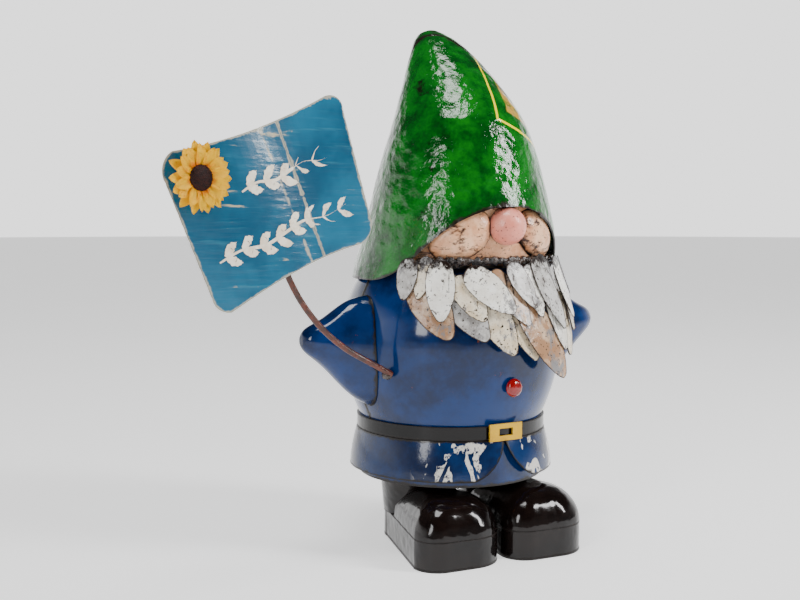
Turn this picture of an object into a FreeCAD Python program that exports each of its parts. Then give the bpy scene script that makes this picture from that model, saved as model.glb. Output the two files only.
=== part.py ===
"""Garden gnome welded from painted sheet steel, as a parametric FreeCAD document.

Frame: +Z up, the gnome faces -Y, its own right hand is at -X. The origin is on the ground,
under the axis of the round coat. All sizes are millimetres and degrees.
"""
import FreeCAD, Part
import math
import os
import Sketcher
from FreeCAD import Placement, Rotation, Vector

SIZES = {
    # sheet steel
    "sheet": 1.2,
    "gap": 0.15,
    # coat, as a turned barrel: radius and height of each point of its outline
    "coat_hem_radius": 80.3, "coat_hem_height": 97.0,
    "waist_radius": 80.3, "waist_height": 110.8,
    "belly_radius": 96.0, "belly_height": 174.0, "belly_curve": 160.0,
    "shoulder_radius": 82.0, "shoulder_height": 227.0, "shoulder_curve": 105.0,
    "neck_radius": 58.0, "neck_height": 254.0, "neck_curve": 60.0,
    # belt, buckle, button
    "belt_low": 99.2, "belt_high": 110.4, "belt_radius": 82.2,
    "buckle_width": 32.5, "buckle_height": 14.5, "buckle_mid_height": 105.2, "buckle_thickness": 1.6,
    "buckle_slot_width": 13.0, "buckle_slot_height": 5.6,
    "button_radius": 7.6, "button_rise": 5.2, "button_height": 143.0, "button_depth": 93.7,
    # coat skirt, trouser band and floor
    "buckle_stand_off": 0.6, "crown_flat": 0.8,
    "skirt_top_radius": 82.4, "skirt_top_height": 99.0, "skirt_hem_radius": 88.6, "skirt_hem_height": 66.0,
    "skirt_flare": 140.0,
    "split_half_width": 33.0, "split_corner": 46.0,
    "trouser_radius": 80.3, "trouser_low": 60.0,
    # boots: sizes from the line where the two boots meet; the pair stands turned and off to one side
    "stance_turn": -6.0, "stance_across": 6.5,
    "boot_inner": 1.4, "boot_outer": 78.5, "boot_front": -100.0, "toe_corner_tight": 20.5,
    "toe_corner_wide": 30.0, "toe_corner_share": 0.6,
    "heel_across": 34.5, "heel_along": 13.0, "heel_radius": 27.0,
    "sole_thickness": 1.5, "band_height": 24.0, "toe_height": 54.0, "toe_crown": 28.0, "toe_back": -12.0,
    "shaft_low_across": 37.5, "shaft_low_along": 6.0, "shaft_low_radius": 27.6,
    "shaft_top_across": 39.5, "shaft_top_along": -9.0, "shaft_top_radius": 34.8,
    # hat: levels are heights, each with a centre depth and a radius
    "rim_height": 228.0, "rim_turn_depth": -39.0, "rim_slope": 49.0, "rim_bend": 64.0,
    "seam_angle": 55.0, "tip_rise": 3.4,
    # face
    "face_radius": 80.0, "face_low": 239.0, "face_high": 292.0, "face_half_angle": 66.0,
    "nose_radius": 15.8, "nose_depth": -83.5, "nose_height": 273.0,
    "cheek_angle": 27.5, "cheek_height": 266.0, "cheek_depth": 76.0,
    "cheek_long": 28.0, "cheek_short": 20.5, "cheek_rise": 14.5, "cheek_lean": 30.0,
    # arms: stations along X, each with middle height, half height and half thickness
    "arm_depth": -8.0, "right_arm_lift": 0.0, "left_arm_lift": 5.5,
    # sign and rod
    "sign_across": -191.0, "sign_depth": -48.9, "sign_height": 292.0, "sign_tilt": 22.0,
    "sign_wave_left": 290.0, "sign_wave_right": 230.0, "sign_wave_turn": 8.0, "sign_reach": 98.0,
    "rod_radius": 2.4, "rod_depth": -46.0, "rod_start_across": -86.0, "rod_start_height": 154.0,
    "rod_straight": 35.0, "rod_start_slope": 28.6, "rod_bend": 138.0, "rod_end_slope": 72.0,
    "rod_tail": 12.0, "rod_bead": 4.4,
    # sunflower
    "flower_along": -51.0, "flower_up": 38.0, "flower_turn": 13.0, "flower_depth": -61.6,
    "stub_radius": 2.2, "stub_depth": -55.4, "petal_length": 28.0, "petal_width": 8.4,
    "petal_count": 14, "inner_petal_length": 24.5, "hub_radius": 9.0, "petal_thickness": 0.8,
    "disc_radius": 10.2, "disc_rise": 4.5, "layer_gap": 1.6,
    # beard: outline of the innermost layer of leaves, and the step out to the next one
    "beard_top_radius": 83.2, "beard_top_height": 252.0, "beard_mid_radius": 97.4,
    "beard_mid_height": 210.0, "beard_low_radius": 108.0,
    "beard_low_height": 146.0, "beard_low_curve": 190.0, "leaf_thickness": 1.0, "leaf_step": 1.45,
    "leaf_tuck_upper": 5.5, "leaf_tuck_lower": 15.0,
    "bead_radius": 4.2, "bead_height": 245.5, "bead_reach": 8.5,
    "bead_room_low": 200.0, "bead_room_height": 100.0,
}

# Hat levels: height, sideways place and depth of the centre, outside radius.
HAT_LEVELS = [
    (222, 0, -2.0, 87.2), (250, 0, -8.5, 85.6), (272, 0, -13.0, 81.6), (300, 0, -13.6, 75.2),
    (330, 0, -13.6, 67.2), (358, 0, -12.0, 58.0), (382, 0, -4.6, 48.0), (404, -1, 4.6, 36.8),
    (422, -2.5, 13.2, 27.0), (434, -4, 20.0, 18.6), (440.2, -5, 24.0, 11.0),
]

# Arm stations: distance across, middle height, half height, half thickness.
ARM_STATIONS = [(70, 170, 58, 22), (98, 172, 42.5, 21.5), (119, 176.5, 28.0, 19.0), (136, 179.5, 15.5, 14.5),
                (144.6, 180.8, 9.8, 9.0), (148.4, 181.0, 4.6, 4.0)]

# Beard leaves: azimuth from the front, middle height, length, width, lean, layer (0 is innermost).
BEARD_LEAVES = [
    (-54.0, 229.5, 28, 17, -1, 5), (-46.5, 230.0, 29, 12, -9, 4), (-37.5, 221.0, 43, 21, 3, 5),
    (-40.0, 206.5, 48, 27, 33, 3), (-24.5, 203.5, 47, 23, 35, 2), (-23.5, 215.0, 36, 20, 34, 4),
    (-13.5, 221.0, 45, 23, 49, 5), (-10.5, 193.5, 48, 23, 27, 1), (-1.5, 210.5, 37, 15, 31, 3),
    (3.5, 224.0, 35, 17, 27, 5), (10.0, 219.5, 37, 17, 5, 4), (3.0, 185.5, 42, 17, 23, 0),
    (15.5, 176.5, 64, 26, 35, 2), (20.5, 216.0, 57, 16, 20, 5), (24.0, 191.5, 40, 17, 12, 3),
    (27.0, 232.0, 33, 13, 36, 4), (31.5, 213.0, 36, 13, 12, 2), (38.0, 220.0, 46, 19, 6, 5),
    (47.0, 228.0, 32, 14, 8, 4), (55.0, 229.0, 28, 17, 2, 5), (44.0, 207.0, 44, 21, -20, 3),
    (52.5, 212.0, 34, 20, -10, 2), (36.0, 189.0, 46, 22, -8, 1),
]
BEAD_ANGLES = [-47, -39, -27, -19, -11, -3, 5, 13, 21, 30, 40, 49]

doc = FreeCAD.newDocument("garden_gnome")
sheet = doc.addObject("Spreadsheet::Sheet", "Sizes")


class Dim:
    """A number together with the spreadsheet expression that gives it."""

    def __init__(self, value, text):
        self.value, self.text = value, text

    def __add__(self, other):
        other = dim(other)
        return Dim(self.value + other.value, f"({self.text} + {other.text})")

    def __sub__(self, other):
        other = dim(other)
        return Dim(self.value - other.value, f"({self.text} - {other.text})")

    def __mul__(self, other):
        other = dim(other)
        return Dim(self.value * other.value, f"({self.text} * {other.text})")

    def __truediv__(self, other):
        other = dim(other)
        return Dim(self.value / other.value, f"({self.text} / {other.text})")

    def __neg__(self):
        return Dim(-self.value, f"(0 - {self.text})")


def dim(number):
    """A plain number as a Dim."""
    return number if isinstance(number, Dim) else Dim(number, f"{number:.6g}")


def sine(angle):
    return Dim(math.sin(math.radians(angle.value)), f"sin({angle.text} * 1 deg)")


def cosine(angle):
    return Dim(math.cos(math.radians(angle.value)), f"cos({angle.text} * 1 deg)")


def fill_sheet():
    """Write every driving size into the sheet and return it as a Dim under its alias."""
    rows = dict(SIZES)
    for i, (height, across, depth, radius) in enumerate(HAT_LEVELS):
        rows.update({f"hat_{i:02}_height": height, f"hat_{i:02}_across": across, f"hat_{i:02}_depth": depth,
                     f"hat_{i:02}_radius": radius})
    for i, (across, middle, half_height, half_thick) in enumerate(ARM_STATIONS):
        rows.update({f"arm_{i:02}_across": across, f"arm_{i:02}_middle": middle,
                     f"arm_{i:02}_tall": half_height, f"arm_{i:02}_thick": half_thick})
    for i, (azimuth, middle, length, width, lean, _) in enumerate(BEARD_LEAVES, 1):
        rows.update({f"leaf_{i:02}_azimuth": azimuth, f"leaf_{i:02}_middle": middle,
                     f"leaf_{i:02}_length": length, f"leaf_{i:02}_width": width,
                     f"leaf_{i:02}_lean": lean})
    sizes = {}
    for line, (alias, value) in enumerate(rows.items(), 1):
        sheet.set(f"A{line}", alias)
        sheet.set(f"B{line}", str(value))
        sheet.setAlias(f"B{line}", alias)
        sizes[alias] = Dim(float(value), f"Sizes.{alias}")
    doc.recompute()
    return sizes


D = fill_sheet()
SHEET = D["sheet"]

# Sizes of the plain volumes that only trim a piece: larger than anything on the figure.
FAR = 140.0
HALF_SPACE = 400.0

# Sections that shape the rounded top of a boot toe.
CROWN_STEPS = 6


def bind(thing, prop, size):
    """Drive one property from the sheet."""
    thing.setExpression(prop, dim(size).text)


def put(thing, x=None, y=None, z=None):
    """Drive an object's position from the sheet."""
    for axis, size in (("x", x), ("y", y), ("z", z)):
        if size is not None:
            bind(thing, f"Placement.Base.{axis}", size)
    return thing


def turn(thing, axis, angle):
    """Turn an object about one axis through its own origin, by an angle from the sheet."""
    angle = dim(angle)
    if angle.value < 0:
        axis, angle = axis * -1, -angle
    thing.Placement = Placement(thing.Placement.Base, Rotation(axis, angle.value))
    bind(thing, "Placement.Rotation.Angle", angle)
    return thing


def add(kind, name, **sizes):
    """Add a Part primitive whose properties come from the sheet."""
    thing = doc.addObject(kind, name)
    for prop, size in sizes.items():
        bind(thing, prop, size)
    return thing


def combine(kind, name, base, tool):
    """Part::Cut or Part::Common of two objects."""
    thing = doc.addObject(kind, name)
    thing.Base, thing.Tool = base, tool
    return thing


def cut(name, base, tool):
    return combine("Part::Cut", name, base, tool)


def common(name, base, tool):
    return combine("Part::Common", name, base, tool)


def fuse(name, things):
    thing = doc.addObject("Part::MultiFuse", name)
    thing.Shapes = things
    return thing


def origin_plane(body, role):
    return next(plane for plane in body.Origin.OriginFeatures if plane.Role == role)


def outline(sketch, points):
    """Draw a closed outline.

    Each point is (x, y) and may carry the radius of the arc that leads to the next point:
    positive bulges to the right of the direction of travel, negative to the left.
    """
    points = [(dim(p[0]), dim(p[1]), dim(p[2]) if len(p) > 2 else None) for p in points]
    count = len(points)
    for i, (x, y, radius) in enumerate(points):
        after = points[(i + 1) % count]
        start, end = Vector(x.value, y.value, 0), Vector(after[0].value, after[1].value, 0)
        if radius is None:
            sketch.addGeometry(Part.LineSegment(start, end))
            continue
        chord = end - start
        side = Vector(chord.y, -chord.x, 0).normalize() * math.copysign(1, radius.value)
        reach = abs(radius.value)
        sagitta = reach - math.sqrt(reach ** 2 - (chord.Length / 2) ** 2)
        middle = (start + end) * 0.5 + side * sagitta
        anticlockwise = (start, middle, end) if radius.value > 0 else (end, middle, start)
        sketch.addGeometry(Part.Arc(*anticlockwise))
    for i, (x, y, radius) in enumerate(points):
        begins, ends = first_and_last(radius)[0], first_and_last(points[i - 1][2])[1]
        sketch.addConstraint(Sketcher.Constraint("Coincident", (i - 1) % count, ends, i, begins))
        for kind, size in (("DistanceX", x), ("DistanceY", y)):
            at = sketch.addConstraint(Sketcher.Constraint(kind, -1, 1, i, begins, size.value))
            sketch.setExpression(f"Constraints[{at}]", size.text)
        if radius is not None:
            at = sketch.addConstraint(Sketcher.Constraint("Radius", i, abs(radius.value)))
            sketch.setExpression(f"Constraints[{at}]", f"abs({radius.text})")


def first_and_last(radius):
    """Numbers of a segment's first and last point; a sketch keeps every arc anticlockwise."""
    return (1, 2) if radius is None or radius.value > 0 else (2, 1)


def ring(sketch, x, y, radius):
    """Draw one circle."""
    x, y, radius = dim(x), dim(y), dim(radius)
    at = sketch.addGeometry(Part.Circle(Vector(x.value, y.value, 0), Vector(0, 0, 1), radius.value))
    for constraint, size in ((Sketcher.Constraint("Radius", at, radius.value), radius),
                             (Sketcher.Constraint("DistanceX", -1, 1, at, 3, x.value), x),
                             (Sketcher.Constraint("DistanceY", -1, 1, at, 3, y.value), y)):
        number = sketch.addConstraint(constraint)
        sketch.setExpression(f"Constraints[{number}]", size.text)


def body_sketch(body, name, role):
    sketch = body.newObject("Sketcher::SketchObject", name)
    sketch.AttachmentSupport = [(origin_plane(body, role), "")]
    sketch.MapMode = "FlatFace"
    return sketch


def turned(name, points, angle=360.0, reverse=False):
    """A body turned about Z from an outline of (radius, height) points."""
    body = doc.addObject("PartDesign::Body", name)
    sketch = body_sketch(body, name + "_outline", "XZ_Plane")
    outline(sketch, points)
    feature = body.newObject("PartDesign::Revolution", name + "_turn")
    feature.Profile = sketch
    feature.ReferenceAxis = (sketch, ["V_Axis"])
    feature.Angle = angle
    feature.Reversed = reverse
    sketch.Visibility = False
    return body


def padded(name, role, points, length, midplane=False, reverse=False, holes=()):
    """A body padded from an outline, with optional circular or outlined holes."""
    body = doc.addObject("PartDesign::Body", name)
    sketch = body_sketch(body, name + "_outline", role)
    outline(sketch, points)
    pad = body.newObject("PartDesign::Pad", name + "_pad")
    pad.Profile = sketch
    bind(pad, "Length", length)
    pad.Midplane = midplane
    pad.Reversed = reverse
    for number, hole in enumerate(holes):
        inner = body_sketch(body, f"{name}_opening_{number}", role)
        outline(inner, hole)
        pocket = body.newObject("PartDesign::Pocket", f"{name}_cut_{number}")
        pocket.Profile = inner
        pocket.Type = 1
        pocket.Midplane = True
    return body


def prism(name, points, length):
    """An outline in the XZ plane, extruded towards -Y."""
    sketch = doc.addObject("Sketcher::SketchObject", name + "_outline")
    sketch.Placement = Placement(Vector(0, 0, 0), Rotation(Vector(1, 0, 0), 90))
    outline(sketch, points)
    body = doc.addObject("Part::Extrusion", name)
    body.Base = sketch
    body.DirMode = "Custom"
    body.Dir = Vector(0, -1, 0)
    bind(body, "LengthFwd", length)
    body.Solid = True
    return body


def loft(name, sections):
    thing = doc.addObject("Part::Loft", name)
    thing.Sections = sections
    thing.Solid = True
    thing.Ruled = False
    return thing


def finish(thing, node):
    """Give a finished sub-part the name of its node."""
    thing.Label = node
    return thing


# ---------------------------------------------------------------- coat

def coat_points(inset):
    """Half outline of the barrel-shaped coat, pulled in by inset."""
    return [
        (D["coat_hem_radius"] - inset, D["coat_hem_height"]),
        (D["waist_radius"] - inset, D["waist_height"], D["belly_curve"]),
        (D["belly_radius"] - inset, D["belly_height"], D["shoulder_curve"]),
        (D["shoulder_radius"] - inset, D["shoulder_height"], D["neck_curve"]),
        (D["neck_radius"], D["neck_height"] - inset),
    ]


def coat_shell_points():
    outside = coat_points(dim(0))
    inside = [(p[0], p[1]) for p in coat_points(SHEET)]
    curves = [-point[2] for point in outside[1:4]]
    back = [(inside[4][0], inside[4][1], curves[2]), (inside[3][0], inside[3][1], curves[1]),
            (inside[2][0], inside[2][1], curves[0]), inside[1], inside[0]]
    return outside + back


def make_coat():
    front = turned("CoatFront", coat_shell_points(), 180.0, True)
    rear = turned("CoatRear", coat_shell_points(), 180.0)
    return [finish(front, "coat_front_panel"), finish(rear, "coat_rear_panel")]


def coat_core(name, spare):
    """The solid volume of the coat plus a little room, for trimming what is welded to it."""
    points = coat_points(-spare)
    return turned(name, [(0, D["coat_hem_height"])] + points + [(0, D["neck_height"] + spare)])


# ---------------------------------------------------------------- belt, buckle, button

def make_belt():
    inner = D["waist_radius"] + D["gap"]
    belt = turned("Belt", [(inner, D["belt_low"]), (D["belt_radius"], D["belt_low"]),
                           (D["belt_radius"], D["belt_high"]), (inner, D["belt_high"])])
    half_w, half_h = D["buckle_width"] * 0.5, D["buckle_height"] * 0.5
    slot_w, slot_h = D["buckle_slot_width"] * 0.5, D["buckle_slot_height"] * 0.5
    mid = D["buckle_mid_height"]
    buckle = padded("Buckle", "XZ_Plane", rectangle(-half_w, mid - half_h, half_w, mid + half_h),
                    D["buckle_thickness"], holes=[rectangle(-slot_w, mid - slot_h, slot_w, mid + slot_h)])
    put(buckle, y=-(D["belt_radius"] + D["buckle_stand_off"]))
    radius, rise = D["button_radius"], D["button_rise"]
    button = turned("Button", [(0, 0), (radius, 0), (radius, 1.0, radius),
                               (radius * 0.62, rise * 0.86, 16), (D["crown_flat"], rise), (0, rise)])
    button.Placement = Placement(Vector(0, 0, 0), Rotation(Vector(1, 0, 0), 90))
    put(button, y=-(D["button_depth"] + 0.5), z=D["button_height"])
    return [finish(belt, "belt"), finish(buckle, "belt_buckle"), finish(button, "coat_button")]


def rectangle(x0, y0, x1, y1):
    return [(x0, y0), (x1, y0), (x1, y1), (x0, y1)]


# ---------------------------------------------------------------- skirt, trouser band, floor

def make_lower_body():
    top, hem = D["skirt_top_radius"], D["skirt_hem_radius"]
    high, low = D["skirt_top_height"], D["skirt_hem_height"]
    whole = turned("SkirtWhole", [(top, high, -D["skirt_flare"]), (hem, low),
                                  (hem - SHEET, low, D["skirt_flare"]), (top - SHEET, high)])
    half, corner = D["split_half_width"], D["split_corner"]
    split = prism("SkirtSplit", [(0, high + 1, -corner), (-half, low - 1), (half, low - 1, -corner)], FAR)
    skirt = cut("Skirt", whole, split)
    outer, base = D["trouser_radius"], D["trouser_low"]
    band = turned("TrouserBand", [(outer - SHEET, base), (outer, base), (outer, D["coat_hem_height"]),
                                  (outer - SHEET, D["coat_hem_height"])])
    floor = turned("BodyFloor", [(0, base), (outer - SHEET, base), (outer - SHEET, base + SHEET),
                                 (0, base + SHEET)])
    return [finish(skirt, "coat_skirt"), finish(band, "trouser_band"), finish(floor, "body_floor_plate")]


# ---------------------------------------------------------------- boots

def boot_points(side, inset, back=None):
    """Plan of a boot: squarish toe with round corners, narrowing to a round heel.

    Both boots are cut to one template, so the wider toe corner is at +X on each of them.
    With back given, the plan ends square at that depth.
    """
    near, far = (D["boot_inner"] + inset) * side, (D["boot_outer"] - inset) * side
    left, right = (far, near) if side < 0 else (near, far)
    front = D["boot_front"] + inset
    tight = D["toe_corner_tight"] - D["toe_corner_share"] * inset
    wide = D["toe_corner_wide"] - D["toe_corner_share"] * inset
    toe = [(left, front + tight, tight), (left + tight, front),
           (right - wide, front, wide), (right, front + wide)]
    heel_x, heel_y, heel = D["heel_across"] * side, D["heel_along"], D["heel_radius"] - inset
    if back is not None:
        share_right = (back - (front + wide)) / (heel_y - (front + wide))
        share_left = (back - (front + tight)) / (heel_y - (front + tight))
        return toe + [(right + (heel_x + heel - right) * share_right, back),
                      (left + (heel_x - heel - left) * share_left, back)]
    return toe + [(heel_x + heel, heel_y, heel), (heel_x, heel_y + heel, heel), (heel_x - heel, heel_y)]


def make_boot(side, word):
    name = word.capitalize() + "Boot"
    none = dim(0)
    sole = padded(name + "Sole", "XY_Plane", boot_points(side, none), D["sole_thickness"])
    band = padded(name + "Band", "XY_Plane", boot_points(side, none), D["band_height"] - D["sole_thickness"],
                  holes=[boot_points(side, SHEET)])
    put(band, z=D["sole_thickness"])
    shaft = cut(name + "Shaft", shaft_loft(name + "ShaftOuter", side, none),
                shaft_loft(name + "ShaftInner", side, SHEET))
    rise = D["toe_height"] - D["band_height"]
    shell = cut(name + "CapShell", toe_dome(name + "CapOuter", side, none, rise),
                toe_dome(name + "CapInner", side, SHEET, rise - SHEET))
    cap = cut(name + "Cap", shell, shaft_loft(name + "ShaftRoom", side, -D["gap"]))
    parts = {"sole": sole, "side_band": band, "toe_cap": cap, "shaft": shaft}
    for word_for_part, part in parts.items():
        turn(part, Vector(0, 0, 1), D["stance_turn"])
        put(part, x=D["stance_across"])
        finish(part, f"{word}_boot_{word_for_part}")
    return list(parts.values())


def shaft_loft(name, side, inset):
    """Tapered leg of a boot, from the top of its side band to the floor of the coat."""
    sections = []
    for level, height in (("low", D["band_height"]), ("top", D["trouser_low"])):
        circle = add("Part::Circle", f"{name}_{level}", Radius=D[f"shaft_{level}_radius"] - inset)
        put(circle, D[f"shaft_{level}_across"] * side, D[f"shaft_{level}_along"], height)
        sections.append(circle)
    return loft(name, sections)


def toe_dome(name, side, inset, height):
    """Toe plan that draws in along a quarter ellipse as it rises, up to a flat crown."""
    sections = []
    for step in range(CROWN_STEPS + 1):
        angle = dim(90.0 * step / CROWN_STEPS)
        drawn_in = (D["toe_crown"] - inset) * (1 - cosine(angle).value)
        section = doc.addObject("Sketcher::SketchObject", f"{name}_{step}")
        outline(section, boot_points(side, drawn_in + inset, D["toe_back"] - inset))
        put(section, z=D["band_height"] + height * sine(angle).value)
        sections.append(section)
    return loft(name, sections)


# ---------------------------------------------------------------- hat

def hat_loft(name, inset):
    """Cone of circular levels that leans back towards its tip."""
    circles = []
    for i in range(len(HAT_LEVELS)):
        circle = add("Part::Circle", f"{name}_{i:02}", Radius=D[f"hat_{i:02}_radius"] - inset)
        drop = inset if i == len(HAT_LEVELS) - 1 else dim(0)
        put(circle, D[f"hat_{i:02}_across"], D[f"hat_{i:02}_depth"], D[f"hat_{i:02}_height"] - drop)
        circles.append(circle)
    return loft(name, circles)


def make_hat():
    outer, inner = hat_loft("HatOuter", dim(0)), hat_loft("HatInner", SHEET)
    last = len(HAT_LEVELS) - 1
    tip = add("Part::Ellipsoid", "HatTip", Radius1=D["tip_rise"], Radius2=D[f"hat_{last:02}_radius"],
              Radius3=D[f"hat_{last:02}_radius"])
    tip.Angle1 = 0
    put(tip, D[f"hat_{last:02}_across"], D[f"hat_{last:02}_depth"], D[f"hat_{last:02}_height"])
    shell = fuse("HatShell", [cut("HatWall", outer, inner), tip])
    slope, bend = D["rim_slope"], D["rim_bend"]
    turn_y, rim = D["rim_turn_depth"], D["rim_height"]
    reach = bend * math.tan(math.radians(slope.value / 2))
    flat_end = turn_y + reach
    rise_y, rise_z = turn_y - reach * cosine(slope), rim + reach * sine(slope)
    away_y, away_z = turn_y - cosine(slope) * FAR, rim + sine(slope) * FAR
    below = rim - FAR * 0.2
    opening = doc.addObject("Sketcher::SketchObject", "HatOpening_outline")
    opening.Placement = Placement(Vector(0, 0, 0), Rotation(Vector(1, 1, 1), 120))
    outline(opening, [(FAR, rim), (flat_end, rim, -bend), (rise_y, rise_z), (away_y, away_z),
                      (-FAR, below), (FAR, below)])
    removed = doc.addObject("Part::Extrusion", "HatOpening")
    removed.Base = opening
    removed.DirMode = "Custom"
    removed.Dir = Vector(1, 0, 0)
    removed.LengthFwd = FAR
    removed.LengthRev = FAR
    removed.Solid = True
    trimmed = cut("HatTrimmed", shell, removed)
    half = add("Part::Box", "HatFrontHalf", Length=HALF_SPACE, Width=HALF_SPACE / 2,
               Height=HALF_SPACE * 2)
    turn(half, Vector(0, 0, 1), D["seam_angle"] - 90)
    corner = Vector(-HALF_SPACE / 2, -HALF_SPACE / 2, 0)
    half.Placement.Base = half.Placement.Rotation.multVec(corner)
    front = common("HatFront", trimmed, half)
    rear = cut("HatRear", trimmed, half)
    return [finish(front, "hat_front_panel"), finish(rear, "hat_rear_panel")]


# ---------------------------------------------------------------- face

def make_face():
    radius, low, high = D["face_radius"], D["face_low"], D["face_high"]
    plate = turned("FacePlate", [(radius - SHEET, low), (radius, low), (radius, high),
                                 (radius - SHEET, high)])
    bind(plate.Tip, "Angle", D["face_half_angle"] * 2)
    turn(plate, Vector(0, 0, 1), -(D["face_half_angle"] + 90))
    backing = add("Part::Cylinder", "FaceRoom", Radius=radius + D["gap"], Height=D["neck_height"])
    put(backing, z=low - FAR / 2)
    nose_outer = add("Part::Sphere", "NoseOuter", Radius=D["nose_radius"])
    nose_inner = add("Part::Sphere", "NoseInner", Radius=D["nose_radius"] - SHEET)
    nose_room = add("Part::Sphere", "NoseRoom", Radius=D["nose_radius"] + D["gap"])
    for ball in (nose_outer, nose_inner, nose_room):
        put(ball, y=D["nose_depth"], z=D["nose_height"])
    nose = cut("Nose", cut("NoseBall", nose_outer, nose_inner), backing)
    parts = [finish(plate, "face_plate"), finish(nose, "nose")]
    for side, word in ((-1, "right"), (1, "left")):
        domes = []
        for role, inset in (("Outer", dim(0)), ("Inner", SHEET)):
            dome = add("Part::Ellipsoid", f"{word.capitalize()}Cheek{role}",
                       Radius1=D["cheek_short"] - inset, Radius2=D["cheek_long"] - inset,
                       Radius3=D["cheek_rise"] - inset)
            dome.Angle1 = -90
            swing = Rotation(Vector(0, 0, 1), side * SIZES["cheek_angle"])
            lean = Rotation(Vector(0, 1, 0), side * SIZES["cheek_lean"])
            dome.Placement = Placement(Vector(0, 0, 0), swing * lean)
            put(dome, sine(D["cheek_angle"]) * D["cheek_depth"] * side,
                -(cosine(D["cheek_angle"]) * D["cheek_depth"]), D["cheek_height"])
            domes.append(dome)
        shell = cut(f"{word.capitalize()}CheekShell", *domes)
        beside_nose = cut(f"{word.capitalize()}CheekTrim", shell, nose_room)
        cheek = cut(f"{word.capitalize()}Cheek", beside_nose, backing)
        parts.append(finish(cheek, word + "_cheek"))
    return parts


# ---------------------------------------------------------------- arms

def arm_loft(name, side, lift, inset):
    sections = []
    for i in range(len(ARM_STATIONS)):
        ellipse = add("Part::Ellipse", f"{name}_{i:02}", MajorRadius=D[f"arm_{i:02}_tall"] - inset,
                      MinorRadius=D[f"arm_{i:02}_thick"] - inset)
        ellipse.Placement = Placement(Vector(0, 0, 0), Rotation(Vector(0, 1, 0), -90))
        across = (D[f"arm_{i:02}_across"] - (inset if i else dim(0))) * side
        put(ellipse, across, D["arm_depth"], D[f"arm_{i:02}_middle"] + lift)
        sections.append(ellipse)
    return loft(name, sections)


def make_arms(core):
    parts = []
    for side, word in ((-1, "right"), (1, "left")):
        name = word.capitalize() + "Arm"
        lift = D[word + "_arm_lift"]
        hollow = cut(name + "Shell", arm_loft(name + "Outer", side, lift, dim(0)),
                     arm_loft(name + "Inner", side, lift, SHEET))
        parts.append(finish(cut(name, hollow, core), word + "_arm"))
    return parts


# ---------------------------------------------------------------- sign on its rod

def make_sign():
    thickness = SHEET
    left, right = D["sign_wave_left"], D["sign_wave_right"]
    reach, knee = D["sign_reach"], D["sign_wave_turn"]
    wave = padded("SignWave", "XY_Plane",
                  [(-reach, 0, left), (knee, 0, -right), (reach, 0),
                   (reach, -thickness, right), (knee, -thickness, -left), (-reach, -thickness)],
                  FAR, midplane=True)
    prism_body = prism("SignOutline",
                       [(-59, 61.5, 17), (-72, 42), (-72, -47, 13), (-62, -62.5, -380),
                        (60, -59.5, 16), (75, -44), (83.5, 44, 10.5), (73, 57.5, -420)], FAR)
    put(prism_body, y=FAR / 2)
    plate = common("SignPlate", wave, prism_body)
    turn(plate, Vector(0, 1, 0), -D["sign_tilt"])
    put(plate, D["sign_across"], D["sign_depth"], D["sign_height"])
    return [finish(plate, "sign_plate"), make_rod(), make_rod_welds()]


def rod_path():
    """Key points of the rod: straight off the coat, one long bend, straight again behind the sign."""
    x0, z0 = D["rod_start_across"].value, D["rod_start_height"].value
    first, last = math.radians(D["rod_start_slope"].value), math.radians(D["rod_end_slope"].value)
    length, radius = D["rod_straight"].value, D["rod_bend"].value
    x1, z1 = x0 - length * math.cos(first), z0 + length * math.sin(first)
    centre_x, centre_z = x1 + radius * math.sin(first), z1 + radius * math.cos(first)
    mid = (first + last) / 2
    arc = [(centre_x - radius * math.sin(a), centre_z - radius * math.cos(a)) for a in (mid, last)]
    tail = D["rod_tail"].value
    end = (arc[1][0] - tail * math.cos(last), arc[1][1] + tail * math.sin(last))
    return [Vector(x, D["rod_depth"].value, z) for x, z in ((x0, z0), (x1, z1), *arc, end)]


def make_rod():
    start, bend, middle, straight, end = rod_path()
    path = Part.Wire([Part.LineSegment(start, bend).toShape(), Part.Arc(bend, middle, straight).toShape(),
                      Part.LineSegment(straight, end).toShape()])
    profile = Part.Wire([Part.Circle(start, bend - start, D["rod_radius"].value).toShape()])
    rod = doc.addObject("Part::Feature", "SignRod")
    rod.Shape = path.makePipeShell([profile], True, False)
    return finish(rod, "sign_rod")


def make_rod_welds():
    """One bead where the rod meets the coat and one along the rod's end, behind the sign."""
    start, _, _, straight, end = rod_path()
    rod = doc.getObject("SignRod").Shape
    coat = coat_core("WeldRoom", D["gap"])
    plate = doc.getObject("SignPlate")
    doc.recompute()
    along = end - straight
    low = Part.makeSphere(D["rod_bead"].value, start + Vector(-2.0, 3.0, -0.6))
    high = Part.makeCylinder(2.0, along.Length, straight + Vector(0, -1.4, 0), along)
    beads = doc.addObject("Part::Feature", "RodWelds")
    beads.Shape = Part.makeCompound([low.cut(rod).cut(coat.Shape), high.cut(rod).cut(plate.Shape)])
    return finish(beads, "rod_weld_beads")


# ---------------------------------------------------------------- sunflower

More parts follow.
